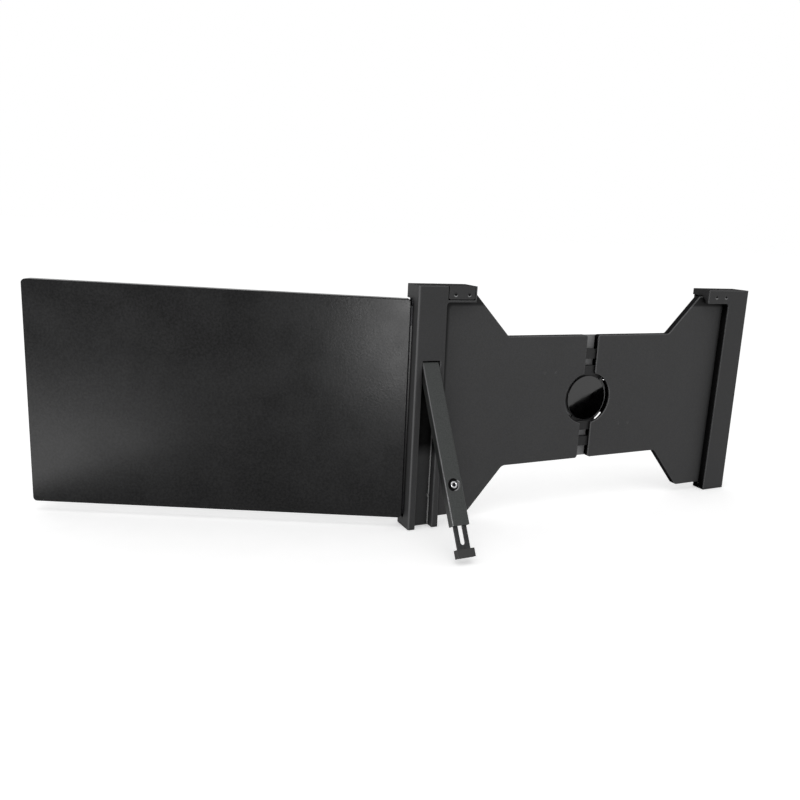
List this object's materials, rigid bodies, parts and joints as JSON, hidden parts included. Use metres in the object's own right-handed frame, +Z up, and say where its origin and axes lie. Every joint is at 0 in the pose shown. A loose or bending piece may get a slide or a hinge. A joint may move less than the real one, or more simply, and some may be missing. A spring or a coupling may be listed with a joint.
{
  "type": "laptop screen extender",
  "caption": "Second screen hinged on a spreading rack-and-pinion back plate that hooks over a laptop lid, with a folding, telescoping kickstand.",
  "frame": {"origin": "middle of the laptop lid's top edge, on the lid's back surface", "axes": "+X across the lid towards the plain column, +Y from the lid's back towards the user, +Z up"},
  "size_m": [0.6731, 0.2424, 0.215],
  "materials": {
    "carrier_steel": "satin",
    "carrier_coat": "satin",
    "rail_steel": "satin",
    "hub_gloss": "polished",
    "screw_steel": "satin",
    "screw_dark": "satin",
    "gear_plastic": "satin",
    "plate_shell": "matte, fine moulded grain",
    "plate_cover": "matte",
    "rack_plastic": "satin",
    "guide_plastic": "satin",
    "column_case": "matte, fine moulded grain",
    "clip_case": "matte, fine moulded grain",
    "channel_plastic": "satin",
    "seat_rubber": "matte",
    "pin_steel": "polished",
    "hinge_steel": "satin",
    "leg_alloy": "black anodised",
    "washer_plastic": "semi-gloss",
    "clamp_chrome": "polished",
    "strap_steel": "satin",
    "foot_rubber": "matte",
    "screen_case": "matte, fine grain",
    "screen_bezel": "satin",
    "screen_glass": "anti-glare",
    "panel_black": "satin",
    "panel_white": "matte",
    "board_green": "satin",
    "socket_metal": "satin",
    "button_plastic": "satin"
  },
  "bodies": {
    "carrier": {"hub_carrier": "carrier_coat", "guide_rails": "rail_steel", "hub_disc": "hub_gloss", "hub_screws": "screw_steel"},
    "pinion": {"pinion": "gear_plastic"},
    "left_half": {"left_plate_shell": "plate_shell", "left_plate_cover": "plate_cover", "left_rack": "rack_plastic", "left_rack_screws": "screw_steel", "left_cover_screws": "screw_steel", "left_guides": "guide_plastic", "left_pads": "seat_rubber", "left_column": "column_case", "left_channel": "channel_plastic", "left_channel_pad": "seat_rubber", "left_channel_screws": "screw_steel", "left_clip": "clip_case", "left_clip_pad": "seat_rubber", "left_clip_screws": "screw_dark", "leg_pin": "pin_steel"},
    "right_half": {"right_plate_shell": "plate_shell", "right_plate_cover": "plate_cover", "right_rack": "rack_plastic", "right_rack_screws": "screw_steel", "right_cover_screws": "screw_steel", "right_guides": "guide_plastic", "right_pads": "seat_rubber", "right_column": "column_case", "right_channel": "channel_plastic", "right_channel_pad": "seat_rubber", "right_channel_screws": "screw_steel", "right_clip_pad": "seat_rubber", "right_clip_screws": "screw_dark"},
    "kickstand": {"leg": "leg_alloy", "clamp_washer": "washer_plastic", "clamp_bar": "carrier_steel"},
    "clamp": {"clamp_screw": "clamp_chrome"},
    "foot": {"foot_strap": "strap_steel", "foot_pad": "foot_rubber"},
    "screen": {"rear_cover": "screen_case", "bezel": "screen_bezel", "cover_glass": "screen_glass", "lcd_panel": "panel_black", "backlight": "panel_white", "panel_frame": "carrier_steel", "mainboard": "board_green", "usb_sockets": "socket_metal", "video_socket": "socket_metal", "switches": "socket_metal", "hinge_leaves": "hinge_steel", "hinge_pins": "pin_steel"},
    "power_button": {"power_button": "button_plastic"},
    "plus_button": {"plus_button": "button_plastic"},
    "minus_button": {"minus_button": "button_plastic"}
  },
  "joints": [
    {"name": "left_slide", "type": "slide", "parent": "carrier", "child": "left_half", "axis": [-1, 0, 0], "range_m": [-0.002, 0.032]},
    {"name": "right_slide", "type": "slide", "parent": "carrier", "child": "right_half", "axis": [1, 0, 0], "range_m": [-0.002, 0.032]},
    {"name": "pinion_spin", "type": "hinge", "parent": "carrier", "child": "pinion", "pos_m": [0, -0.0045, -0.1], "axis": [0, -1, 0], "range_deg": [-7, 102]},
    {"name": "screen_swing", "type": "hinge", "parent": "left_half", "child": "screen", "pos_m": [-0.1867, 0.0032, -0.1033], "axis": [0, 0, -1], "range_deg": [-6, 153]},
    {"name": "leg_swing", "type": "hinge", "parent": "left_half", "child": "kickstand", "pos_m": [-0.17585, -0.0142, -0.061], "axis": [-1, 0, 0], "range_deg": [-30, 25]},
    {"name": "foot_slide", "type": "slide", "parent": "kickstand", "child": "foot", "axis": [0, -0.5, -0.866], "range_m": [-0.0187, 0.02]},
    {"name": "clamp_turn", "type": "hinge", "parent": "kickstand", "child": "clamp", "pos_m": [-0.17585, -0.06867, -0.15034], "axis": [0, -0.866, 0.5], "range_deg": [-90, 180]},
    {"name": "power_press", "type": "slide", "parent": "screen", "child": "power_button", "axis": [0, 0, 1], "range_m": [0, 0.0005], "stiffness_N_per_m": 800, "springref_m": -0.0005},
    {"name": "plus_press", "type": "slide", "parent": "screen", "child": "plus_button", "axis": [0, 0, 1], "range_m": [0, 0.0005], "stiffness_N_per_m": 800, "springref_m": -0.0005},
    {"name": "minus_press", "type": "slide", "parent": "screen", "child": "minus_button", "axis": [0, 0, 1], "range_m": [0, 0.0005], "stiffness_N_per_m": 800, "springref_m": -0.0005}
  ],
  "couplings": [
    {"joint": "right_slide", "follows": "left_slide", "ratio": 1},
    {"joint": "pinion_spin", "follows": "left_slide", "rad_per_m": 54.945}
  ]
}
